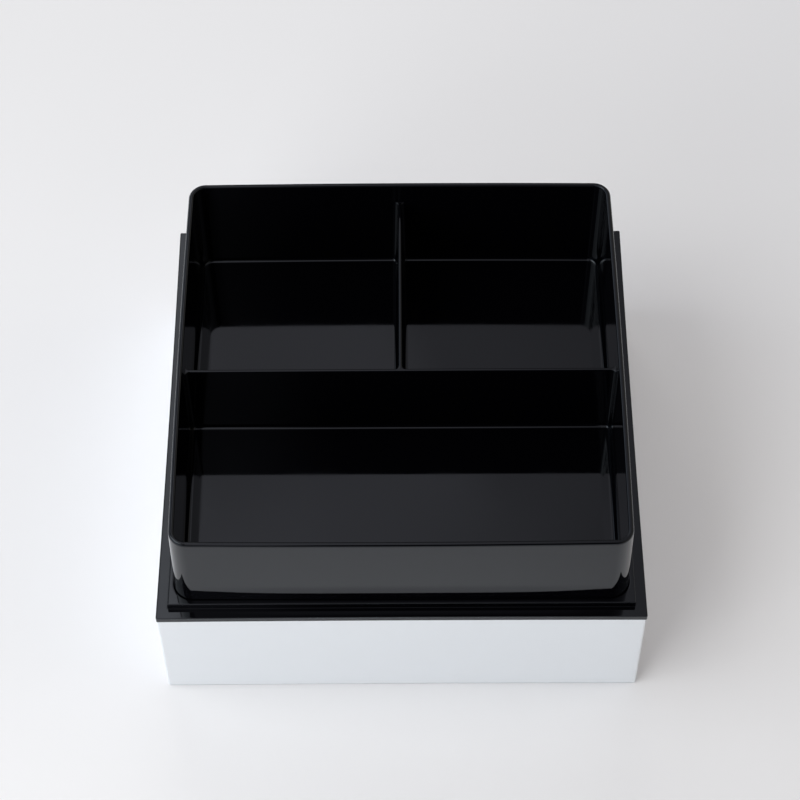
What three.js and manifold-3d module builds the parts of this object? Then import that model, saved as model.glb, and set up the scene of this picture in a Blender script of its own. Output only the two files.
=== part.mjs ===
// Square bento box without its lid: a white case, a black liner that carries the flange and lip that a lid
// sits on, a plain lower tray, and an upper tray with three compartments that stands well above the flange.
// Millimetres, +Z up, origin at the centre of the underside, front towards -Y.

import * as THREE from 'three';
import { mergeVertices } from 'three/addons/utils/BufferGeometryUtils.js';
import Module from 'manifold-3d';

// Flange and lip
const FLANGE_WIDTH = 195;
const FLANGE_THICKNESS = 2.9;
const FLANGE_CORNER_RADIUS = 1.0;
const LIP_HEIGHT = 3.2;
const LIP_WALL = 2.0;
const LIP_CORNER_RADIUS = 0.6;

// White case
const FLANGE_OVERHANG = 0.15;
const CASE_HEIGHT = 54.8;
const CASE_WALL = 2.9;
const CASE_FLOOR = 2.4;
const CASE_CORNER_RADIUS = 1.0;
const CASE_BOTTOM_ROUNDING = 1.2;
const CASE_INSIDE_RADIUS = 3.0;
const CASE_FOOT_WIDTH = 7.0;
const CASE_FOOT_HEIGHT = 0.8;

// Black liner inside the case
const LINER_CLEARANCE = 0.3;
const LINER_WALL = 3.15;
const LINER_FLOOR = 2.0;
const OPENING_RADIUS = 8.0;

// What the two trays share. The outer walls are upright up to the straight height, where they fit the
// opening, and from there they lean in by the taper up to the rim, where the wall is as thick as given.
const TRAY_CLEARANCE = 0.3;
const TRAY_STRAIGHT_HEIGHT = 12.5;
const TRAY_TAPER = 0.8;
const TRAY_WALL = 2.1;
const TRAY_FLOOR = 2.0;
const TRAY_CORNER_RADIUS = 7.7;
const TRAY_BOTTOM_ROUNDING = 0.8;
const TRAY_FOOT_HEIGHT = 1.5;
const TRAY_FOOT_WIDTH = 2.0;
const TRAY_FOOT_CLEARANCE = 0.6;

// Each tray's own height, foot included
const LOWER_TRAY_HEIGHT = 42.9;
const UPPER_TRAY_HEIGHT = 54.0;

// Dividers of the upper tray, moulded in one with it
const DIVIDER_DROP = 11.1;
const DIVIDER_TOP_THICKNESS = 1.3;
const DIVIDER_DRAFT_DEGREES = 1.0;
const DIVIDER_CORNER_RADIUS = 2.0;
const CROSS_DIVIDER_Y = 0;
const REAR_DIVIDER_X = 0;

// Small rounding of moulded edges, and how finely round edges are stepped
const FLOOR_FILLET = 1.5;
const EDGE_ROUNDING = 0.5;
const LEAST_RADIUS = 0.05;
const CORNER_STEPS = 8;
const FILLET_STEPS = 3;
const CUT_PAST = 1.0;

// Half widths, from the flange inwards
const flangeHalf = FLANGE_WIDTH / 2;
const caseHalf = flangeHalf - FLANGE_OVERHANG;
const caseInsideHalf = caseHalf - CASE_WALL;
const linerHalf = caseInsideHalf - LINER_CLEARANCE;
const openingHalf = linerHalf - LINER_WALL;
const lipHalf = openingHalf + LIP_WALL;
const trayHalf = openingHalf - TRAY_CLEARANCE;
const trayInsideHalf = trayHalf - TRAY_TAPER - TRAY_WALL;
const trayInsideRadius = TRAY_CORNER_RADIUS - TRAY_TAPER - TRAY_WALL;
const footHalf = trayInsideHalf - TRAY_FOOT_CLEARANCE;
const footRadius = trayInsideRadius - TRAY_FOOT_CLEARANCE;

// Levels, from the ground up
const caseFloorTop = CASE_FOOT_HEIGHT + CASE_FLOOR;
const linerUnderside = caseFloorTop + LINER_CLEARANCE;
const linerFloorTop = linerUnderside + LINER_FLOOR;
const flangeTop = CASE_HEIGHT + FLANGE_THICKNESS;
const lipTop = flangeTop + LIP_HEIGHT;
const lowerTrayUnderside = linerFloorTop + TRAY_FOOT_HEIGHT;
const lowerTrayRim = linerFloorTop + LOWER_TRAY_HEIGHT;
const upperTrayUnderside = lowerTrayRim;
const upperTrayRim = lowerTrayRim - TRAY_FOOT_HEIGHT + UPPER_TRAY_HEIGHT;

const wasm = await Module();
wasm.setup();

// An outline is a rectangle, seen from above, with its own radius at each corner.
function square(half, radius) {
  return { west: -half, east: half, south: -half, north: half, radii: [radius, radius, radius, radius] };
}

// The same outline with every side moved inwards, or outwards where the distance is negative.
function inset(outline, distance) {
  return {
    west: outline.west + distance,
    east: outline.east - distance,
    south: outline.south + distance,
    north: outline.north - distance,
    radii: outline.radii.map((radius) => Math.max(radius - distance, LEAST_RADIUS)),
  };
}

// The outline's points at one height, anticlockwise from the north-east corner.
function ring({ outline, z }) {
  const corners = [
    [outline.east, outline.north, -1, -1],
    [outline.west, outline.north, 1, -1],
    [outline.west, outline.south, 1, 1],
    [outline.east, outline.south, -1, 1],
  ];
  return corners.flatMap(([x, y, inX, inY], i) => {
    const radius = outline.radii[i];
    const start = (i * Math.PI) / 2;
    const centreX = x + inX * radius;
    const centreY = y + inY * radius;
    const arc = new THREE.EllipseCurve(centreX, centreY, radius, radius, start, start + Math.PI / 2);
    return arc.getPoints(CORNER_STEPS).map((point) => [point.x, point.y, z]);
  });
}

// A closed solid that joins the outlines at each level, from the lowest to the highest. A rounding of no
// size gives the same level twice, and the second is left out.
function stack(levels) {
  const differs = (a, b) => a.z !== b.z || a.outline.west !== b.outline.west;
  const rings = levels.filter((level, i) => i === 0 || differs(level, levels[i - 1])).map(ring);
  const count = rings[0].length;
  const positions = rings.flat(2);
  const indices = [];
  for (let level = 0; level < rings.length - 1; level += 1) {
    for (let i = 0; i < count; i += 1) {
      const a = level * count + i;
      const b = level * count + ((i + 1) % count);
      indices.push(a, b, b + count, a, b + count, a + count);
    }
  }
  const top = (rings.length - 1) * count;
  for (let i = 1; i < count - 1; i += 1) {
    indices.push(0, i + 1, i);
    indices.push(top, top + i, top + i + 1);
  }
  const geometry = new THREE.BufferGeometry();
  geometry.setAttribute('position', new THREE.Float32BufferAttribute(positions, 3));
  geometry.setIndex(indices);
  return toSolid(geometry);
}

// The levels of a quarter-round lower edge: the outline drawn in at z, and full one radius higher.
function lowerRound(outlineAt, z, radius) {
  return Array.from({ length: FILLET_STEPS + 1 }, (_, step) => {
    const angle = ((step / FILLET_STEPS) * Math.PI) / 2;
    const level = z + radius * (1 - Math.cos(angle));
    return { outline: inset(outlineAt(level), radius * (1 - Math.sin(angle))), z: level };
  });
}

// A block with a rounded lower edge and a small chamfer round its top.
function block(outline, low, high, lowRounding, highChamfer) {
  return stack([
    ...lowerRound(() => outline, low, lowRounding),
    { outline, z: high - highChamfer },
    { outline: inset(outline, highChamfer), z: high },
  ]);
}

// A hollow to cut out, with a fillet round its floor and a small chamfer round its mouth.
function hollow(outline, floor, mouth, fillet, mouthChamfer) {
  return stack([
    ...lowerRound(() => outline, floor, fillet),
    { outline, z: mouth - mouthChamfer },
    { outline: inset(outline, -mouthChamfer), z: mouth },
    { outline: inset(outline, -mouthChamfer), z: mouth + CUT_PAST },
  ]);
}

// A straight-sided block.
function prism(outline, low, high) {
  return stack([{ outline, z: low }, { outline, z: high }]);
}

function toSolid(geometry) {
  const merged = mergeVertices(geometry);
  const mesh = new wasm.Mesh({
    numProp: 3,
    vertProperties: new Float32Array(merged.attributes.position.array),
    triVerts: new Uint32Array(merged.index.array),
  });
  return new wasm.Manifold(mesh);
}

function toMesh(name, solid, material) {
  const { vertProperties, triVerts } = solid.getMesh();
  const geometry = new THREE.BufferGeometry();
  geometry.setAttribute('position', new THREE.BufferAttribute(new Float32Array(vertProperties), 3));
  geometry.setIndex(new THREE.BufferAttribute(new Uint32Array(triVerts), 1));
  const faceted = geometry.toNonIndexed();
  faceted.computeVertexNormals();
  const mesh = new THREE.Mesh(faceted, material);
  mesh.name = name;
  return mesh;
}

// The case stands on a low rim round its recessed underside, and is open at the top.
function outerCase() {
  const outside = block(square(caseHalf, CASE_CORNER_RADIUS), 0, CASE_HEIGHT, CASE_BOTTOM_ROUNDING, 0);
  const inside = prism(square(caseInsideHalf, CASE_INSIDE_RADIUS), caseFloorTop, CASE_HEIGHT + CUT_PAST);
  const recess = prism(square(caseHalf - CASE_FOOT_WIDTH, CASE_INSIDE_RADIUS), -CUT_PAST, CASE_FOOT_HEIGHT);
  return outside.subtract(inside).subtract(recess);
}

// The liner hangs in the case by its flange, and its walls rise above the flange as the lip.
function innerLiner() {
  const flangeMiddle = CASE_HEIGHT + FLANGE_THICKNESS / 2;
  const body = prism(square(linerHalf, OPENING_RADIUS + LINER_WALL), linerUnderside, flangeMiddle);
  const flange = block(square(flangeHalf, FLANGE_CORNER_RADIUS), CASE_HEIGHT, flangeTop, 0, EDGE_ROUNDING);
  const lip = block(square(lipHalf, LIP_CORNER_RADIUS), flangeMiddle, lipTop, 0, EDGE_ROUNDING);
  const opening = square(openingHalf, OPENING_RADIUS);
  const cavity = hollow(opening, linerFloorTop, lipTop, FLOOR_FILLET, EDGE_ROUNDING);
  return body.add(flange).add(lip).subtract(cavity);
}

// A tray's outside: its walls, and under them a foot ring small enough to drop inside another tray's rim.
function trayOutside(underside, rim) {
  const outline = square(trayHalf, TRAY_CORNER_RADIUS);
  const walls = stack([
    ...lowerRound(() => outline, underside, TRAY_BOTTOM_ROUNDING),
    { outline, z: underside + TRAY_STRAIGHT_HEIGHT },
    { outline: inset(outline, TRAY_TAPER), z: rim - EDGE_ROUNDING },
    { outline: inset(outline, TRAY_TAPER + EDGE_ROUNDING), z: rim },
  ]);
  const footBottom = underside - TRAY_FOOT_HEIGHT;
  const foot = prism(square(footHalf, footRadius), footBottom, underside + TRAY_FLOOR / 2);
  const footInside = square(footHalf - TRAY_FOOT_WIDTH, footRadius);
  const recess = prism(footInside, footBottom - CUT_PAST, underside);
  return walls.add(foot).subtract(recess);
}

function lowerTray() {
  const inside = square(trayInsideHalf, trayInsideRadius);
  const cavity = hollow(inside, lowerTrayUnderside + TRAY_FLOOR, lowerTrayRim, FLOOR_FILLET, EDGE_ROUNDING);
  return trayOutside(lowerTrayUnderside, lowerTrayRim).subtract(cavity);
}

// One compartment below the dividers' tops. Its outer walls are upright and its divider sides lean
// outwards with the draft, so each divider is thicker at the floor. `leaning` names the divider sides.
function compartment(top, leaning, floor, dividerTop) {
  const slope = Math.tan(THREE.MathUtils.degToRad(DIVIDER_DRAFT_DEGREES));
  const outlineAt = (z) => {
    const lean = slope * Math.max(dividerTop - z, 0);
    return {
      west: top.west + (leaning.includes('west') ? lean : 0),
      east: top.east - (leaning.includes('east') ? lean : 0),
      south: top.south + (leaning.includes('south') ? lean : 0),
      north: top.north - (leaning.includes('north') ? lean : 0),
      radii: top.radii,
    };
  };
  return stack([
    ...lowerRound(outlineAt, floor, FLOOR_FILLET),
    { outline: outlineAt(dividerTop), z: dividerTop },
    { outline: outlineAt(dividerTop), z: dividerTop + CUT_PAST },
  ]);
}

// The upper tray: two compartments at the back and one wide one at the front, under a shared open rim.
function upperTray() {
  const floor = upperTrayUnderside + TRAY_FLOOR;
  const dividerTop = upperTrayRim - DIVIDER_DROP;
  const halfDivider = DIVIDER_TOP_THICKNESS / 2;
  const inside = square(trayInsideHalf, trayInsideRadius);
  const outer = trayInsideRadius;
  const inner = DIVIDER_CORNER_RADIUS;
  const front = { ...inside, north: CROSS_DIVIDER_Y - halfDivider, radii: [inner, inner, outer, outer] };
  const rear = { ...inside, south: CROSS_DIVIDER_Y + halfDivider };
  const rearLeft = { ...rear, east: REAR_DIVIDER_X - halfDivider, radii: [inner, outer, inner, inner] };
  const rearRight = { ...rear, west: REAR_DIVIDER_X + halfDivider, radii: [outer, inner, inner, inner] };
  const mouth = hollow(inside, dividerTop, upperTrayRim, 0, EDGE_ROUNDING);
  return trayOutside(upperTrayUnderside, upperTrayRim)
    .subtract(mouth)
    .subtract(compartment(front, ['north'], floor, dividerTop))
    .subtract(compartment(rearLeft, ['south', 'east'], floor, dividerTop))
    .subtract(compartment(rearRight, ['south', 'west'], floor, dividerTop));
}

const whitePlastic = () => new THREE.MeshStandardMaterial({ color: '#e6e8ea', roughness: 0.35, metalness: 0 });
const blackPlastic = () => new THREE.MeshStandardMaterial({ color: '#0c0c0e', roughness: 0.15, metalness: 0 });

const bentoBox = new THREE.Group();
bentoBox.add(toMesh('outer_case', outerCase(), whitePlastic()));
bentoBox.add(toMesh('inner_liner', innerLiner(), blackPlastic()));
bentoBox.add(toMesh('lower_tray', lowerTray(), blackPlastic()));
bentoBox.add(toMesh('upper_tray', upperTray(), blackPlastic()));

export default bentoBox;
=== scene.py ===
"""Square bento box without its lid: white case, black liner with the flange and lip, lower tray, and the
upper tray with its three compartments. Metres, +Z up, front towards -Y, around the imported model."""

import math

import bmesh
import bpy
import numpy as np
from mathutils import Matrix, Vector


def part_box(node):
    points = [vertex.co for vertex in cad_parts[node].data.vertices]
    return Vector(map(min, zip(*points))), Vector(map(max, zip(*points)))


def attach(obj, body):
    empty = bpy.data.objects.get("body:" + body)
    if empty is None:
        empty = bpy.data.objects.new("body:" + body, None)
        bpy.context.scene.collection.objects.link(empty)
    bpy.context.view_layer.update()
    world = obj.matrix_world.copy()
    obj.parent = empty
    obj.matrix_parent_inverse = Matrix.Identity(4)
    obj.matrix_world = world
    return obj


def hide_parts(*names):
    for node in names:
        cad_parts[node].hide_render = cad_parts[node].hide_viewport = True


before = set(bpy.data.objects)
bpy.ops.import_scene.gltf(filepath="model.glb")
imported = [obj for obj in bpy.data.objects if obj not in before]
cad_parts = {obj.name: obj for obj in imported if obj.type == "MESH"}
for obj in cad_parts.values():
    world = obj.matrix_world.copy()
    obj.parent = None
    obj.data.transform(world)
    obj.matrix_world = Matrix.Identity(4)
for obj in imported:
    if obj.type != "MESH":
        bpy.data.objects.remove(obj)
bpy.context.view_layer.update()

MM = 0.001

# Walls, floors and feet, which the boxes of the CAD nodes don't give
CASE_WALL = 2.9 * MM
CASE_FLOOR = 2.4 * MM
CASE_FOOT_WIDTH = 7.0 * MM
CASE_FOOT_HEIGHT = 0.8 * MM
LINER_WALL = 3.15 * MM
LINER_FLOOR = 2.0 * MM
LINER_CLEARANCE = 0.3 * MM
LIP_WALL = 2.0 * MM
FLANGE_THICKNESS = 2.9 * MM
TRAY_STRAIGHT_HEIGHT = 12.5 * MM
TRAY_TAPER = 0.8 * MM
TRAY_WALL = 2.1 * MM
TRAY_FLOOR = 2.0 * MM
TRAY_FOOT_HEIGHT = 1.5 * MM
TRAY_FOOT_WIDTH = 2.0 * MM
TRAY_FOOT_CLEARANCE = 0.6 * MM

# Corner radii seen from above
CASE_RADIUS = 1.0 * MM
CASE_INSIDE_RADIUS = 3.0 * MM
FLANGE_RADIUS = 0.6 * MM
LIP_RADIUS = 0.2 * MM
OPENING_RADIUS = 8.0 * MM
TRAY_RADIUS = 7.7 * MM
DIVIDER_CORNER_RADIUS = 2.0 * MM

# Dividers of the upper tray
DIVIDER_DROP = 11.1 * MM
DIVIDER_TOP_THICKNESS = 1.3 * MM
DIVIDER_DRAFT = math.radians(1.0)
CROSS_DIVIDER_Y = 0.0
REAR_DIVIDER_X = 0.0

# Rounding of moulded edges, seen from the side
FLOOR_FILLET = 1.5 * MM
CASE_BOTTOM_ROUNDING = 1.2 * MM
CASE_TOP_ROUNDING = 0.25 * MM
LINER_BOTTOM_ROUNDING = 1.0 * MM
FLANGE_TOP_ROUNDING = 0.2 * MM
FLANGE_BOTTOM_ROUNDING = 0.35 * MM
LIP_OUTER_ROUNDING = 0.35 * MM
LIP_INNER_ROUNDING = 0.15 * MM
LIP_FOOT_FILLET = 0.1 * MM
RIM_INNER_ROUNDING = 0.8 * MM
RIM_OUTER_ROUNDING = 1.1 * MM
TAPER_ROUNDING = 800 * MM
DIVIDER_TOP_ROUNDING = 0.5 * MM
TRAY_BOTTOM_ROUNDING = 0.8 * MM
FOOT_ROUNDING = 0.3 * MM

# The long walls of the upper tray bow outwards and its corners are drawn in, as deep mouldings do, and
# the sides of the flange and the case are a little hollow
TRAY_BOW = 0.65 * MM
TRAY_CORNERS_IN = 0.25 * MM
FLANGE_HOLLOW = 0.3 * MM
CASE_HOLLOW = 0.2 * MM

# Just above the lip the upper tray's walls flare out to where they fit the opening
FLARE_OUT = 0.25 * MM
FLARE_IN = 0.32 * MM
FLARE_HEIGHT = 9.0 * MM
FLARE_UNDER = 5.0 * MM

# How finely the surfaces are stepped, and how far in from a profile's last corner its flat cap starts
CORNER_STEPS = 24
SIDE_STEPS = 16
ROUNDING_STEPS = 8
WALL_ROWS = 10
SUPPORT = 0.5 * MM
CAP_INSET = 3 * SUPPORT
ROW_SPACING = 0.8 * MM
LEAST_RADIUS = 0.05 * MM
MERGE_DISTANCE = 0.001 * MM
SHARP_ANGLE = math.radians(40)

# Where the nodes of the frame are
case_low, case_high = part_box("outer_case")
liner_low, liner_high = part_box("inner_liner")
lower_low, lower_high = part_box("lower_tray")
upper_low, upper_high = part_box("upper_tray")

flange_half = liner_high.x
case_half = case_high.x
case_inside_half = case_half - CASE_WALL
liner_half = case_inside_half - LINER_CLEARANCE
opening_half = liner_half - LINER_WALL
lip_half = opening_half + LIP_WALL
tray_half = upper_high.x
tray_inside_half = tray_half - TRAY_TAPER - TRAY_WALL
tray_inside_radius = TRAY_RADIUS - TRAY_TAPER - TRAY_WALL
foot_half = tray_inside_half - TRAY_FOOT_CLEARANCE
foot_inside_half = foot_half - TRAY_FOOT_WIDTH

# Corners in the order of the outline: north-east, north-west, south-west, south-east
NE, NW, SW, SE = range(4)
BLOCK = CORNER_STEPS + SIDE_STEPS
COLUMNS = 4 * BLOCK


def column_angles():
    """The direction in which each column of an outline faces. A column on a corner's arc faces along the
    arc's radius, and the columns of the straight side after that corner face as the arc's end does."""
    arc = np.linspace(0, math.pi / 2, CORNER_STEPS + 1)
    side = np.full(SIDE_STEPS - 1, math.pi / 2)
    block = np.concatenate([arc, side])
    return (block + np.arange(4)[:, None] * math.pi / 2).ravel()


def outlines(west, east, south, north, radii):
    """Rounded rectangles, one for each row of the arguments: an array (rows, columns, 2), anticlockwise
    from the north-east corner. A corner's columns are centre + radius * (cos a, sin a), and a side's
    columns divide the straight line to the next corner's arc evenly."""
    centres = np.stack([
        np.stack([east - radii[:, NE], north - radii[:, NE]], -1),
        np.stack([west + radii[:, NW], north - radii[:, NW]], -1),
        np.stack([west + radii[:, SW], south + radii[:, SW]], -1),
        np.stack([east - radii[:, SE], south + radii[:, SE]], -1),
    ], 1)
    angles = np.linspace(0, math.pi / 2, CORNER_STEPS + 1) + np.arange(4)[:, None] * math.pi / 2
    directions = np.stack([np.cos(angles), np.sin(angles)], -1)
    arcs = centres[:, :, None] + radii[:, :, None, None] * directions
    share = (np.arange(1, SIDE_STEPS) / SIDE_STEPS)[:, None]
    starts = arcs[:, :, -1:]
    ends = np.roll(arcs, -1, axis=1)[:, :, :1]
    sides = starts * (1 - share) + ends * share
    return np.concatenate([arcs, sides], 2).reshape(len(west), COLUMNS, 2)


def rounded(corners):
    """Rows of a profile. Each corner is (across, height, rounding, plan) and becomes an arc of that
    rounding, tangent to both of its straight stretches. A little past each end of the arc, and at most a
    third of the way along what is left of the stretch, a row keeps the flat stretch flat. The plan is
    carried along: what the outline's corners are like there."""
    points = [np.array(corner[:2]) for corner in corners]
    turns = [0.0]
    for before, here, after in zip(points, points[1:], points[2:]):
        incoming = (here - before) / np.linalg.norm(here - before)
        outgoing = (after - here) / np.linalg.norm(after - here)
        cross = incoming[0] * outgoing[1] - incoming[1] * outgoing[0]
        turns.append(math.atan2(cross, incoming @ outgoing))
    turns.append(0.0)
    cuts = [corner[2] * math.tan(abs(turn) / 2) for corner, turn in zip(corners, turns)]
    rows = [(*points[0], *corners[0][3])]
    for i in range(1, len(corners) - 1):
        incoming = points[i] - points[i - 1]
        outgoing = points[i + 1] - points[i]
        length_in = np.linalg.norm(incoming)
        length_out = np.linalg.norm(outgoing)
        incoming = incoming / length_in
        outgoing = outgoing / length_out
        inwards = np.array([-incoming[1], incoming[0]]) * math.copysign(1, turns[i])
        rounding, plan = corners[i][2:]
        start = points[i] - incoming * cuts[i]
        centre = start + inwards * rounding
        angles = np.linspace(0, abs(turns[i]), ROUNDING_STEPS + 1)[:, None]
        arc = centre + rounding * (incoming * np.sin(angles) - inwards * np.cos(angles))
        lead_in = min(SUPPORT, (length_in - cuts[i] - cuts[i - 1]) / 3)
        lead_out = min(SUPPORT, (length_out - cuts[i] - cuts[i + 1]) / 3)
        path = np.vstack([start - incoming * lead_in, arc, points[i] + outgoing * (cuts[i] + lead_out)])
        rows += [(*point, *plan) for point in path]
    rows.append((*points[-1], *corners[-1][3]))
    return np.array(rows)


def square_rings(rows):
    """A stack of square outlines, an array (rows, columns, 3). Each row is (half width, height, half width
    of its plan, corner radius of its plan), and the corner radius grows as the half width does."""
    half, height, plan_half, plan_radius = rows.T
    radius = np.maximum(plan_radius + half - plan_half, LEAST_RADIUS)
    flat = outlines(-half, half, -half, half, np.repeat(radius[:, None], 4, 1))
    return np.dstack([flat, np.repeat(height[:, None], COLUMNS, 1)])


def ring_faces(rows, columns, first=0):
    """Four-sided faces between neighbouring rings of a stack whose vertices start at first."""
    index = first + np.arange(rows * columns).reshape(rows, columns)
    after = np.roll(index, -1, axis=1)
    faces = np.stack([index[:-1], after[:-1], after[1:], index[1:]], -1)
    return faces.reshape(-1, 4).tolist()


def make_piece(name, vertices, faces, material):
    """One closed body: equal vertices merged, faces turned outwards, smooth but for its sharp edges."""
    mesh = bpy.data.meshes.new(name)
    mesh.from_pydata(vertices, [], faces)
    body = bmesh.new()
    body.from_mesh(mesh)
    bmesh.ops.remove_doubles(body, verts=body.verts, dist=MERGE_DISTANCE)
    bmesh.ops.recalc_face_normals(body, faces=body.faces)
    body.to_mesh(mesh)
    body.free()
    mesh.shade_smooth()
    mesh.set_sharp_from_angle(angle=SHARP_ANGLE)
    mesh.materials.append(material)
    piece = bpy.data.objects.new(name, mesh)
    bpy.context.scene.collection.objects.link(piece)
    return piece


def hollowed(points, inner, outer, amount):
    """The points with each side of the square hollow: out at the corners and in at the middle by half the
    amount, by the square of how far along the side they are. It grows from none at the inner half width
    to its full size at the outer one."""
    grow = np.clip((np.abs(points[..., :2]) - inner) / (outer - inner), 0, 1) * np.sign(points[..., :2])
    along = np.clip(np.abs(points[..., 1::-1]) / outer, 0, 1)
    moved = points.copy()
    moved[..., :2] += amount * grow * (along ** 2 - 0.5)
    return moved


def turned_piece(name, corners, material, hollow):
    """A piece that is one profile carried round a square outline, with a flat cap at both of its ends. The
    hollow of its sides is (half width where it starts, half width where it is full, amount)."""
    grid = hollowed(square_rings(rounded(corners)), *hollow)
    rows = len(grid)
    faces = ring_faces(rows, COLUMNS)
    faces.append(list(range(COLUMNS)))
    faces.append(list(range((rows - 1) * COLUMNS, rows * COLUMNS)))
    return make_piece(name, grid.reshape(-1, 3), faces, material)


def white_case(material):
    """The white case: up the inside, over the wall, down the outside and under to the recessed bottom."""
    inside = (case_inside_half, CASE_INSIDE_RADIUS)
    outside = (case_half, CASE_RADIUS)
    recess_half = case_half - CASE_FOOT_WIDTH
    recess = (recess_half, CASE_INSIDE_RADIUS)
    floor_top = case_low.z + CASE_FOOT_HEIGHT + CASE_FLOOR
    top = case_high.z
    underside = case_low.z + CASE_FOOT_HEIGHT
    corners = [
        (case_inside_half - CAP_INSET, floor_top, 0, inside),
        (case_inside_half, floor_top, FOOT_ROUNDING, inside),
        (case_inside_half, top, CASE_TOP_ROUNDING, inside),
        (case_half, top, CASE_TOP_ROUNDING, outside),
        (case_half, case_low.z, CASE_BOTTOM_ROUNDING, outside),
        (recess_half, case_low.z, FOOT_ROUNDING, recess),
        (recess_half, underside, FOOT_ROUNDING, recess),
        (recess_half - CAP_INSET, underside, 0, recess),
    ]
    return turned_piece("white_case", corners, material, (case_inside_half, case_half, CASE_HOLLOW))


def black_liner(material):
    """The liner: its opening, the raised lip, the wide flange, and the walls that hang in the case."""
    opening = (opening_half, OPENING_RADIUS)
    lip = (lip_half, LIP_RADIUS)
    flange = (flange_half, FLANGE_RADIUS)
    body = (liner_half, OPENING_RADIUS + LINER_WALL)
    floor_top = liner_low.z + LINER_FLOOR
    lip_top = liner_high.z
    flange_low = case_high.z
    flange_top = flange_low + FLANGE_THICKNESS
    corners = [
        (opening_half - FLOOR_FILLET - SUPPORT, floor_top, 0, opening),
        (opening_half, floor_top, FLOOR_FILLET, opening),
        (opening_half, lip_top, LIP_INNER_ROUNDING, opening),
        (lip_half, lip_top, LIP_OUTER_ROUNDING, lip),
        (lip_half, flange_top, LIP_FOOT_FILLET, lip),
        (flange_half, flange_top, FLANGE_TOP_ROUNDING, flange),
        (flange_half, flange_low, FLANGE_BOTTOM_ROUNDING, flange),
        (liner_half, flange_low, 0, body),
        (liner_half, liner_low.z, LINER_BOTTOM_ROUNDING, body),
        (liner_half - CAP_INSET, liner_low.z, 0, body),
    ]
    return turned_piece("black_liner", corners, material, (opening_half, flange_half, FLANGE_HOLLOW))


def tray_outside(rim, underside, foot_bottom):
    """A tray's profile from the inner edge of its rim, over the rim, down the outside and round the foot
    ring: corners (distance out from the inside wall, height, rounding)."""
    wall = TRAY_WALL + TRAY_TAPER
    foot_out = foot_half - tray_inside_half
    foot_in = foot_inside_half - tray_inside_half
    return [
        (0.0, rim, RIM_INNER_ROUNDING),
        (TRAY_WALL, rim, RIM_OUTER_ROUNDING),
        (wall, underside + TRAY_STRAIGHT_HEIGHT, TAPER_ROUNDING),
        (wall, underside, TRAY_BOTTOM_ROUNDING),
        (foot_out, underside, 0),
        (foot_out, foot_bottom, FOOT_ROUNDING),
        (foot_in, foot_bottom, FOOT_ROUNDING),
        (foot_in, underside, 0),
        (foot_in - CAP_INSET, underside, 0),
    ]


def bowed(points, share):
    """The points with each wall bowed outwards: by the bow times one less the square of how far along the
    wall the point is, less what the corners are drawn in. It grows with how far out the point is, and the
    share says how much of it each point takes."""
    out = points[..., :2] / tray_half
    along = np.clip(np.abs(points[..., 1::-1]) / tray_half, 0, 1)
    moved = points.copy()
    moved[..., :2] += (TRAY_BOW * (1 - along ** 2) - TRAY_CORNERS_IN) * out * share[..., None]
    return moved


def closer_rows(profile):
    """The profile with rows added along its straight stretches, none further apart than the spacing."""
    gaps = np.linalg.norm(np.diff(profile, axis=0), axis=1)
    along = np.concatenate([[0.0], np.cumsum(gaps)])
    places = [along[-1:]]
    for start, end, gap in zip(along, along[1:], gaps):
        places.append(np.linspace(start, end, math.ceil(gap / ROW_SPACING) or 1, endpoint=False))
    places = np.sort(np.concatenate(places))
    return np.stack([np.interp(places, along, column) for column in profile.T], -1)


def flared(points, fitted, rim):
    """The points with the walls flared: at the middle of a wall out by the flare at the fitted height, then
    by half a cosine wave to a little inwards above it, and evenly back to none at the rim. Under the fitted
    height it fades. Along a wall it falls by the fourth power of how far from the middle the point is."""
    height = points[..., 2]
    over = np.clip((height - fitted) / FLARE_HEIGHT, 0, 1)
    wave = FLARE_OUT - (FLARE_OUT + FLARE_IN) * (1 - np.cos(math.pi * over)) / 2
    fade_under = np.clip(1 + (height - fitted) / FLARE_UNDER, 0, 1)
    fade_up = np.clip((rim - height) / (rim - fitted - FLARE_HEIGHT), 0, 1)
    amount = wave * np.minimum(fade_under, fade_up)
    out = points[..., :2] / tray_half
    along = np.clip(np.abs(points[..., 1::-1]) / tray_half, 0, 1)
    moved = points.copy()
    moved[..., :2] += amount[..., None] * (1 - along ** 4) * out
    return moved


def lower_tray(material):
    """The lower tray, one open compartment: a profile carried round a square outline."""
    plan = (tray_inside_half, tray_inside_radius)
    underside = lower_low.z + TRAY_FOOT_HEIGHT
    floor = underside + TRAY_FLOOR
    corners = [
        (tray_inside_half - FLOOR_FILLET - SUPPORT, floor, 0, plan),
        (tray_inside_half, floor, FLOOR_FILLET, plan),
    ]
    for out, height, rounding in tray_outside(lower_high.z, underside, lower_low.z):
        corners.append((tray_inside_half + out, height, rounding, plan))
    return turned_piece("lower_tray_black", corners, material, (0, tray_half, 0))


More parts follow.
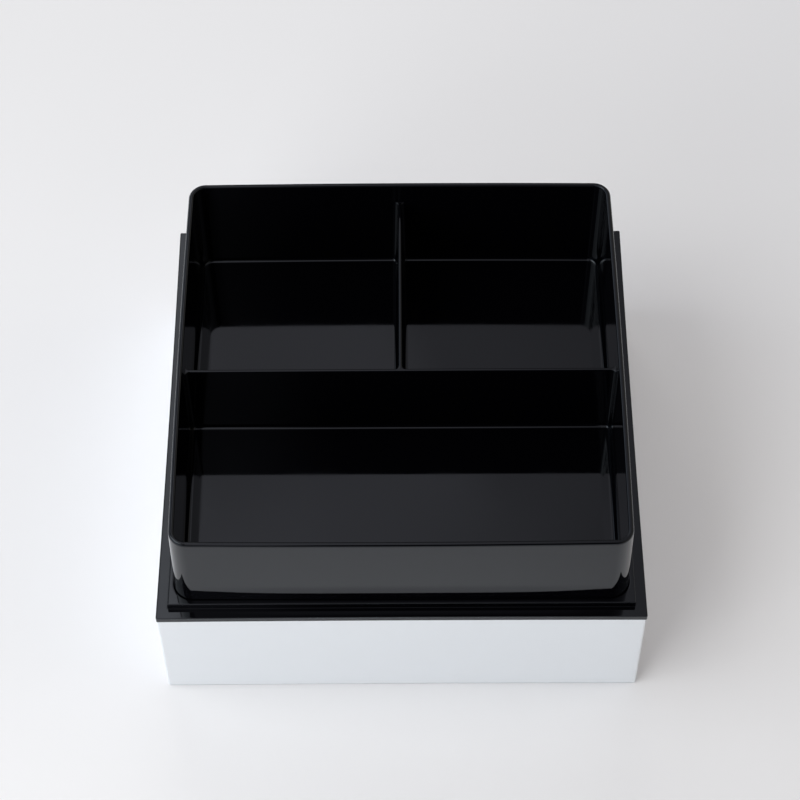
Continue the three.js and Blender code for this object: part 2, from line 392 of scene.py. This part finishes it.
def compartment(walls, leaning, radii, floor, top):
    """One compartment up to the dividers' tops, a grid (rows, columns, 3). Its outer walls are upright.
    Its divider sides lean by the draft, and over the last rows they turn outwards as a quarter round."""
    fillet = np.linspace(0, math.pi / 2, ROUNDING_STEPS + 1)
    inset_fillet = FLOOR_FILLET * (1 - np.sin(fillet))
    height_fillet = floor + FLOOR_FILLET * (1 - np.cos(fillet))
    height_wall = np.linspace(floor + FLOOR_FILLET + SUPPORT, top - DIVIDER_TOP_ROUNDING - SUPPORT, WALL_ROWS)
    turn_out = DIVIDER_TOP_ROUNDING * (1 - np.cos(fillet))
    height_round = top - DIVIDER_TOP_ROUNDING * (1 - np.sin(fillet))
    height = np.concatenate([[floor], height_fillet, height_wall, height_round])
    inset = np.zeros(len(height))
    inset[0] = FLOOR_FILLET + SUPPORT
    inset[1:ROUNDING_STEPS + 2] = inset_fillet
    flare = np.zeros(len(height))
    flare[-ROUNDING_STEPS - 1:] = turn_out
    lean = math.tan(DIVIDER_DRAFT) * (top - height) - flare
    west, east, south, north = walls
    radii = np.maximum(np.array(radii) - inset[:, None], LEAST_RADIUS)
    flat = outlines(
        west + inset + lean * ("west" in leaning),
        east - inset - lean * ("east" in leaning),
        south + inset + lean * ("south" in leaning),
        north - inset - lean * ("north" in leaning),
        radii,
    )
    return np.dstack([flat, np.repeat(height[:, None], COLUMNS, 1)])


def run(start, end):
    """The columns from one to another, anticlockwise, both included."""
    count = (end - start) % COLUMNS
    return (start + np.arange(count + 1)) % COLUMNS


def arc_start(corner):
    """The first column of a corner's arc."""
    return corner * BLOCK


def arc_end(corner):
    """The last column of a corner's arc."""
    return corner * BLOCK + CORNER_STEPS


def upper_tray(material):
    """The upper tray in one skin: three compartments, the T of the dividers' tops between them, and one
    profile that is carried round their outer walls, over the rim and down to the foot ring."""
    underside = upper_low.z + TRAY_FOOT_HEIGHT
    floor = underside + TRAY_FLOOR
    rim = upper_high.z
    top = rim - DIVIDER_DROP
    half = tray_inside_half
    thin = DIVIDER_TOP_THICKNESS / 2
    outer = tray_inside_radius
    inner = DIVIDER_CORNER_RADIUS
    front_north = CROSS_DIVIDER_Y - thin
    rear_south = CROSS_DIVIDER_Y + thin
    left_east = REAR_DIVIDER_X - thin
    right_west = REAR_DIVIDER_X + thin
    # Walls to the west, east, south and north, the sides that are dividers, the corners' radii, and the
    # corners from which and to which its outer wall runs
    shapes = [
        ((-half, half, -half, front_north), ["north"], (inner, inner, outer, outer), NW, NE),
        ((right_west, half, rear_south, half), ["south", "west"], (outer, inner, inner, inner), SE, NW),
        ((-half, left_east, rear_south, half), ["south", "east"], (inner, outer, inner, inner), NE, SW),
    ]
    facing = column_angles()
    vertices = []
    faces = []
    first = 0
    path = []
    path_facing = []
    divider_tops = []
    for walls, leaning, radii, wall_from, wall_to in shapes:
        grid = compartment(walls, leaning, radii, floor, top)
        rows = len(grid)
        faces += ring_faces(rows, COLUMNS, first)
        faces.append(list(range(first, first + COLUMNS)))
        outer_run = run(arc_end(wall_from), arc_start(wall_to))
        inner_run = run(arc_start(wall_to), arc_end(wall_from))
        last = first + (rows - 1) * COLUMNS
        path.append(grid[-1, outer_run])
        grid = bowed(grid, np.ones(grid.shape[:2]))
        path_facing.append(facing[outer_run])
        divider_tops.append((last + inner_run).tolist())
        vertices.append(grid.reshape(-1, 3))
        first += rows * COLUMNS
    front_top, right_top, left_top = divider_tops
    faces.append(front_top + left_top + right_top)
    path = np.concatenate(path)
    path_facing = np.concatenate(path_facing)
    corners = [(0.0, top, 0, ())]
    corners += [(*corner, ()) for corner in tray_outside(rim, underside, upper_low.z)]
    profile = closer_rows(rounded(corners)[:, :2])
    outward = np.stack([np.cos(path_facing), np.sin(path_facing)], -1)
    flat = path[None, :, :2] + profile[:, 0, None, None] * outward
    height = np.repeat(profile[:, 1, None], len(path), 1)
    outside = profile[:, 0] > TRAY_WALL / 2
    fitted = underside + TRAY_STRAIGHT_HEIGHT
    up = np.clip((profile[:, 1] - fitted) / (rim - RIM_OUTER_ROUNDING - fitted), 0, 1)
    share = np.repeat(np.where(outside, up, 1.0)[:, None], len(path), 1)
    skin = bowed(np.dstack([flat, height]), share)
    skin = np.where(outside[:, None, None], flared(skin, fitted, rim), skin)
    faces += ring_faces(len(profile), len(path), first)
    last = first + (len(profile) - 1) * len(path)
    faces.append(list(range(last, last + len(path))))
    vertices.append(skin.reshape(-1, 3))
    return make_piece("upper_tray_black", np.concatenate(vertices), faces, material)


def linear(colour):
    """A hex sRGB colour as linear red, green, blue and alpha, by the curve of the sRGB standard."""
    parts = [int(colour[i:i + 2], 16) / 255 for i in (1, 3, 5)]
    return (*[p / 12.92 if p <= 0.04045 else ((p + 0.055) / 1.055) ** 2.4 for p in parts], 1.0)


def add(tree, kind, inputs=None, **settings):
    """Adds a node, sets its settings, and gives each input its value or links it to a socket."""
    node = tree.nodes.new(kind)
    for name, value in settings.items():
        setattr(node, name, value)
    for name, value in (inputs or {}).items():
        if isinstance(value, bpy.types.NodeSocket):
            tree.links.new(value, node.inputs[name])
        else:
            node.inputs[name].default_value = value
    return node


def new_material(name):
    """An empty node material and its tree."""
    material = bpy.data.materials.new(name)
    material.use_nodes = True
    material.node_tree.nodes.clear()
    return material, material.node_tree


# The gloss of the black looks slightly cool and a little weaker than that of bare ABS
BLUISH_GLOSS = (0.82, 0.90, 1.0, 1.0)
TRAY_GLOSS_IOR = 1.46
LINER_GLOSS_IOR = 1.50

# Sizes of the patterns in the finishes, and how deep their bumps are
SINK_WAVE = 45 * MM
SINK_DEPTH = 0.03 * MM
MOULD_PEEL = 1.5 * MM
MOULD_PEEL_DEPTH = 0.0004 * MM
GLOSS_PATCH = 20 * MM
PAINT_GRAIN = 0.7 * MM
PAINT_CLOUD = 3 * MM
PAINT_PEEL = 4 * MM
PAINT_PEEL_DEPTH = 0.0003 * MM
PAPER_CLOUD = 120 * MM

# The noise values between which a gloss goes from its smoothest to its dullest
PATCH_NOISE = (0.35, 0.65)
CLOUD_NOISE = (0.3, 0.7)

PAINT_SMOOTH = 0.30
PAINT_DULL = 0.32
PAINT_IOR = 1.5


def black_abs(name, colour, smooth, dull, gloss_ior, shift):
    """Injection-moulded black ABS from a polished mould. The eye sees a black mirror: sharp reflections
    that waver over a few centimetres where the wall sank, a very fine orange peel, and a faint unevenness
    of the gloss, whose roughness goes from smooth to dull. The shift, in metres, moves the patterns, so
    that two blacks don't share them."""
    material, tree = new_material(name)
    place = add(tree, "ShaderNodeTexCoord").outputs["Object"]
    mapping = add(tree, "ShaderNodeMapping", {"Vector": place, "Location": (shift, shift, shift)})
    shifted = mapping.outputs["Vector"]
    # Waves where the wall sank
    sink = add(tree, "ShaderNodeTexNoise", {"Vector": shifted, "Scale": 1 / SINK_WAVE, "Detail": 1.0})
    # Orange peel
    peel = add(tree, "ShaderNodeTexNoise", {"Vector": shifted, "Scale": 1 / MOULD_PEEL, "Detail": 2.0})
    # Patches of slightly duller gloss
    patches = add(tree, "ShaderNodeTexNoise", {"Vector": shifted, "Scale": 1 / GLOSS_PATCH, "Detail": 3.0})
    gloss = add(tree, "ShaderNodeMapRange", {
        "Value": patches.outputs["Fac"], "From Min": PATCH_NOISE[0], "From Max": PATCH_NOISE[1],
        "To Min": smooth, "To Max": dull,
    })
    waves = add(tree, "ShaderNodeBump", {
        "Height": sink.outputs["Fac"], "Strength": 1.0, "Distance": SINK_DEPTH,
    })
    surface = add(tree, "ShaderNodeBump", {
        "Height": peel.outputs["Fac"], "Strength": 1.0, "Distance": MOULD_PEEL_DEPTH,
        "Normal": waves.outputs["Normal"],
    })
    shader = add(tree, "ShaderNodeBsdfPrincipled", {
        "Base Color": linear(colour), "Roughness": gloss.outputs["Result"], "IOR": gloss_ior,
        "Specular Tint": BLUISH_GLOSS, "Normal": surface.outputs["Normal"],
    })
    add(tree, "ShaderNodeOutputMaterial", {"Surface": shader.outputs["BSDF"]})
    return material


def white_abs():
    """White ABS with a thin sprayed satin paint. The eye sees an even, very slightly cool white with a soft
    sheen, a fine orange peel and a barely visible grain."""
    material, tree = new_material("white painted ABS")
    place = add(tree, "ShaderNodeTexCoord").outputs["Object"]
    # Grains of the pigment
    grain = add(tree, "ShaderNodeTexNoise", {"Vector": place, "Scale": 1 / PAINT_GRAIN, "Detail": 1.0})
    tint = add(tree, "ShaderNodeMix", {
        "Factor": grain.outputs["Fac"], "A": linear("#e5e9ee"), "B": linear("#e6eaef"),
    }, data_type="RGBA")
    # Cloudiness of the gloss
    cloud = add(tree, "ShaderNodeTexNoise", {"Vector": place, "Scale": 1 / PAINT_CLOUD, "Detail": 0.0})
    # Orange peel of the paint, drawn coarser than the real one so that it shows at all
    peel = add(tree, "ShaderNodeTexNoise", {"Vector": place, "Scale": 1 / PAINT_PEEL, "Detail": 1.0})
    gloss = add(tree, "ShaderNodeMapRange", {
        "Value": cloud.outputs["Fac"], "From Min": CLOUD_NOISE[0], "From Max": CLOUD_NOISE[1],
        "To Min": PAINT_SMOOTH, "To Max": PAINT_DULL,
    })
    surface = add(tree, "ShaderNodeBump", {
        "Height": peel.outputs["Fac"], "Strength": 1.0, "Distance": PAINT_PEEL_DEPTH,
    })
    shader = add(tree, "ShaderNodeBsdfPrincipled", {
        "Base Color": tint.outputs["Result"], "Roughness": gloss.outputs["Result"], "IOR": PAINT_IOR,
        "Normal": surface.outputs["Normal"],
    })
    add(tree, "ShaderNodeOutputMaterial", {"Surface": shader.outputs["BSDF"]})
    return material


# The camera, from the vanishing lines of the photographed edges. Its lens and sensor are in millimetres,
# as Blender takes them, and the nearest distance it sees is in metres
CAMERA_PLACE = Vector((1.571, -539.79, 856.69)) * MM
CAMERA_LENS = 103.152
CAMERA_SENSOR = 36.0
CAMERA_NEAREST = 0.01
CAMERA_PITCH = math.radians(55.613)
CAMERA_YAW = math.radians(-0.195)
CAMERA_ROLL = math.radians(-0.460)


def make_camera():
    """Looks down by the pitch, turned by the yaw from +Y, and rolled about its own axis."""
    data = bpy.data.cameras.new("camera")
    data.sensor_width = CAMERA_SENSOR
    data.lens = CAMERA_LENS
    data.clip_start = CAMERA_NEAREST
    forward = Vector((
        math.sin(CAMERA_YAW) * math.cos(CAMERA_PITCH),
        math.cos(CAMERA_YAW) * math.cos(CAMERA_PITCH),
        -math.sin(CAMERA_PITCH),
    ))
    level = Vector((math.cos(CAMERA_YAW), -math.sin(CAMERA_YAW), 0))
    upright = level.cross(forward)
    right = math.cos(CAMERA_ROLL) * level + math.sin(CAMERA_ROLL) * upright
    up = -math.sin(CAMERA_ROLL) * level + math.cos(CAMERA_ROLL) * upright
    camera = bpy.data.objects.new("camera", data)
    axes = Matrix((right, up, -forward)).transposed()
    camera.matrix_world = Matrix.Translation(CAMERA_PLACE) @ axes.to_4x4()
    bpy.context.scene.collection.objects.link(camera)
    bpy.context.scene.camera = camera


# The floor, in metres: half its side, how far under the object it lies, and where it fades out
FLOOR_HALF = 3.0
FLOOR_DROP = 0.1 * MM
FLOOR_FADE_FROM = 0.9
FLOOR_FADE_TO = 1.8

# Brightness of the backdrop, and the tints of the light overhead and of the glow from left to right
BACKDROP = 0.85
OVERHEAD_TINT = (1.02, 0.965, 1.0)
LEFT_TINT = (0.78, 0.90, 1.08, 1.0)
RIGHT_TINT = (1.10, 0.97, 0.72, 1.0)

# Where each part of the studio's light starts and where it is full, in a unit direction: how far it goes
# up for the overhead light, the upper end of its step and the backdrop's end
OVERHEAD_FADE = (0.5, 0.72)
STEP_FADE = (0.838, 0.86)
HORIZON_FADE = (0.05, 0.15)
# How far it goes back from the camera, for the overhead light behind the dark front
FRONT_FADE = (-0.5, -0.3)
# How far it goes to the right, for the overhead light that is left of the dark front
LEFT_FADE = (-0.03, -0.08)

# Brightness of the studio from left, -1, to right, 1: high overhead, lower overhead behind the object
# with a slanting step in the middle, and low at the two sides
HIGH_STOPS = (
    (-1.0, 0.27), (-0.135, 0.27), (-0.115, 0.88), (-0.05, 0.88), (-0.03, 0.81), (0.0, 0.76), (0.02, 0.70),
    (0.05, 0.60), (0.08, 0.49), (0.1, 0.41), (0.3, 0.36), (1.0, 0.45),
)
STEPPED_STOPS = (
    (-1.0, 0.27), (-0.155, 0.27), (-0.135, 0.73), (-0.09, 0.74), (-0.02, 0.76), (-0.006, 0.73), (0.007, 0.54),
    (0.03, 0.53), (0.08, 0.46), (0.12, 0.40), (0.3, 0.36), (1.0, 0.45),
)
SIDE_STOPS = (
    (-1.0, 0.89), (-0.5, 0.89), (-0.25, 0.05), (0.25, 0.05), (0.5, 0.35), (1.0, 0.35),
)
# The step goes to the right by the slant for each unit of height above the one where it is in the middle
STEP_SLANT = 0.93
STEP_HEIGHT = 0.809

LAMP_COLOUR = (0.99, 1.0, 0.98)
WARM_LAMP_COLOUR = (1.02, 1.0, 0.95)
OBJECT_MIDDLE = (0.0, 0.0, 0.04)
# name, place, aim, width, length, watts, colour, whether reflections show it
LAMPS = (
    ("long softbox overhead", (-0.232, 0.65, 1.0), (-0.232, 0.65, 0.0), 0.08, 0.9, 0.17, LAMP_COLOUR, True),
    ("softbox at the left", (-0.7, -0.1, 1.0), OBJECT_MIDDLE, 0.7, 0.7, 4.1, LAMP_COLOUR, True),
    ("softbox at the front left", (-0.5, -0.5, 1.1), OBJECT_MIDDLE, 0.7, 0.7, 2.5, LAMP_COLOUR, False),
    ("low fill at the front left", (-0.55, -0.75, 0.45), OBJECT_MIDDLE, 0.5, 0.5, 2.85, LAMP_COLOUR, False),
    ("fill from behind", (-0.1, 0.9, 0.8), OBJECT_MIDDLE, 0.6, 0.6, 2.2, LAMP_COLOUR, False),
    ("fill from the right", (1.3, 0.0, 1.0), OBJECT_MIDDLE, 0.8, 0.8, 2.3, WARM_LAMP_COLOUR, False),
)


def make_floor():
    """A plain pale paper floor that fades into the backdrop far from the object."""
    mesh = bpy.data.meshes.new("floor")
    corners = [
        (-FLOOR_HALF, -FLOOR_HALF, -FLOOR_DROP),
        (FLOOR_HALF, -FLOOR_HALF, -FLOOR_DROP),
        (FLOOR_HALF, FLOOR_HALF, -FLOOR_DROP),
        (-FLOOR_HALF, FLOOR_HALF, -FLOOR_DROP),
    ]
    mesh.from_pydata(corners, [], [(0, 1, 2, 3)])
    floor = bpy.data.objects.new("floor", mesh)
    bpy.context.scene.collection.objects.link(floor)
    material, tree = new_material("seamless paper")
    place = add(tree, "ShaderNodeTexCoord").outputs["Object"]
    cloud = add(tree, "ShaderNodeTexNoise", {"Vector": place, "Scale": 1 / PAPER_CLOUD, "Detail": 2.0})
    tint = add(tree, "ShaderNodeMix", {
        "Factor": cloud.outputs["Fac"], "A": linear("#ececee"), "B": linear("#eeeef0"),
    }, data_type="RGBA")
    paper = add(tree, "ShaderNodeBsdfDiffuse", {"Color": tint.outputs["Result"]})
    clear = add(tree, "ShaderNodeBsdfTransparent")
    far = add(tree, "ShaderNodeVectorMath", {0: place}, operation="LENGTH")
    fade = add(tree, "ShaderNodeMapRange", {
        "Value": far.outputs["Value"], "From Min": FLOOR_FADE_FROM, "From Max": FLOOR_FADE_TO,
    }, interpolation_type="SMOOTHSTEP")
    mixed = add(tree, "ShaderNodeMixShader", {
        "Fac": fade.outputs["Result"], 1: paper.outputs["BSDF"], 2: clear.outputs["BSDF"],
    })
    add(tree, "ShaderNodeOutputMaterial", {"Surface": mixed.outputs["Shader"]})
    mesh.materials.append(material)


def across_ramp(tree, value, stops):
    """A ramp over -1 to 1 through the stops, each (place, brightness)."""
    share = add(tree, "ShaderNodeMapRange", {"Value": value, "From Min": -1.0, "From Max": 1.0})
    ramp = add(tree, "ShaderNodeValToRGB", {"Fac": share.outputs["Result"]})
    elements = ramp.color_ramp.elements
    elements.remove(elements[-1])
    for i, (place, brightness) in enumerate(stops):
        position = (place + 1) / 2
        element = elements.new(position) if i else elements[0]
        element.position = position
        element.color = (brightness, brightness, brightness, 1)
    return ramp.outputs["Color"]


def make_sky():
    """Soft studio light: overhead dimmer to the right and dark towards the camera except at the left, a glow
    at both sides, dark low down behind the object, and a plain pale backdrop at the horizon and below."""
    world = bpy.data.worlds.new("studio")
    world.use_nodes = True
    tree = world.node_tree
    tree.nodes.clear()
    direction = add(tree, "ShaderNodeTexCoord").outputs["Generated"]
    parts = add(tree, "ShaderNodeSeparateXYZ", {"Vector": direction}).outputs
    high = add(tree, "ShaderNodeMapRange", {
        "Value": parts["Z"], "From Min": OVERHEAD_FADE[0], "From Max": OVERHEAD_FADE[1],
    }, interpolation_type="SMOOTHSTEP")
    not_front = add(tree, "ShaderNodeMapRange", {
        "Value": parts["Y"], "From Min": FRONT_FADE[0], "From Max": FRONT_FADE[1],
    }, interpolation_type="SMOOTHSTEP")
    at_left = add(tree, "ShaderNodeMapRange", {
        "Value": parts["X"], "From Min": LEFT_FADE[0], "From Max": LEFT_FADE[1],
    }, interpolation_type="SMOOTHSTEP")
    lit = add(tree, "ShaderNodeMath", {
        0: not_front.outputs["Result"], 1: at_left.outputs["Result"],
    }, operation="MAXIMUM")
    slant = add(tree, "ShaderNodeMath", {
        0: parts["Z"], 1: -STEP_SLANT, 2: STEP_SLANT * STEP_HEIGHT,
    }, operation="MULTIPLY_ADD")
    slanted = add(tree, "ShaderNodeMath", {0: parts["X"], 1: slant.outputs["Value"]}, operation="ADD")
    above_step = add(tree, "ShaderNodeMapRange", {
        "Value": parts["Z"], "From Min": STEP_FADE[0], "From Max": STEP_FADE[1],
    }, interpolation_type="SMOOTHSTEP")
    overhead = add(tree, "ShaderNodeMix", {
        "Factor": above_step.outputs["Result"],
        "A": across_ramp(tree, slanted.outputs["Value"], STEPPED_STOPS),
        "B": across_ramp(tree, parts["X"], HIGH_STOPS),
    }, data_type="RGBA")
    kept = add(tree, "ShaderNodeVectorMath", {
        0: overhead.outputs["Result"], 1: lit.outputs["Value"],
    }, operation="MULTIPLY")
    toned = add(tree, "ShaderNodeVectorMath", {
        0: kept.outputs["Vector"], 1: OVERHEAD_TINT,
    }, operation="MULTIPLY")
    share = add(tree, "ShaderNodeMapRange", {"Value": parts["X"], "From Min": -1.0, "From Max": 1.0})
    tint = add(tree, "ShaderNodeMix", {
        "Factor": share.outputs["Result"], "A": LEFT_TINT, "B": RIGHT_TINT,
    }, data_type="RGBA")
    sides = add(tree, "ShaderNodeVectorMath", {
        0: across_ramp(tree, parts["X"], SIDE_STOPS), 1: tint.outputs["Result"],
    }, operation="MULTIPLY")
    studio = add(tree, "ShaderNodeMix", {
        "Factor": high.outputs["Result"], "A": sides.outputs["Vector"], "B": toned.outputs["Vector"],
    }, data_type="RGBA")
    above = add(tree, "ShaderNodeMapRange", {
        "Value": parts["Z"], "From Min": HORIZON_FADE[0], "From Max": HORIZON_FADE[1],
    }, interpolation_type="SMOOTHSTEP")
    colour = add(tree, "ShaderNodeMix", {
        "Factor": above.outputs["Result"], "A": (BACKDROP, BACKDROP, BACKDROP, 1),
        "B": studio.outputs["Result"],
    }, data_type="RGBA")
    light = add(tree, "ShaderNodeBackground", {"Color": colour.outputs["Result"], "Strength": 1.0})
    add(tree, "ShaderNodeOutputWorld", {"Surface": light.outputs["Background"]})
    bpy.context.scene.world = world


def make_lamps():
    """Large softboxes, each aimed at a point near the object or below itself."""
    for name, place, aim, width, length, watts, colour, in_gloss in LAMPS:
        data = bpy.data.lights.new(name, "AREA")
        data.shape = "RECTANGLE"
        data.size = width
        data.size_y = length
        data.energy = watts
        data.color = colour
        lamp = bpy.data.objects.new(name, data)
        lamp.location = place
        lamp.rotation_euler = (Vector(aim) - Vector(place)).to_track_quat("-Z", "Y").to_euler()
        lamp.visible_glossy = in_gloss
        bpy.context.scene.collection.objects.link(lamp)


make_camera()
make_floor()
make_sky()
make_lamps()

black_gloss = black_abs(
    "black moulded ABS", colour="#030305", smooth=0.04, dull=0.07, gloss_ior=TRAY_GLOSS_IOR, shift=0.0,
)
black_gloss_liner = black_abs(
    "black moulded ABS of the liner", colour="#040406", smooth=0.05, dull=0.08,
    gloss_ior=LINER_GLOSS_IOR, shift=7.0,
)
white_paint = white_abs()

# What makes the piece, its finish, the node it replaces, the body it rides on and its material slot
PIECES = (
    (white_case, white_paint, "outer_case", "base", "white_case"),
    (black_liner, black_gloss_liner, "inner_liner", "base", "black_liner"),
    (lower_tray, black_gloss, "lower_tray", "lower_tray", "black_tray"),
    (upper_tray, black_gloss, "upper_tray", "upper_tray", "black_tray"),
)
for make, material, node, body, slot in PIECES:
    piece = make(material)
    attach(piece, body)
    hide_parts(node)

bpy.context.scene.view_settings.view_transform = "Standard"
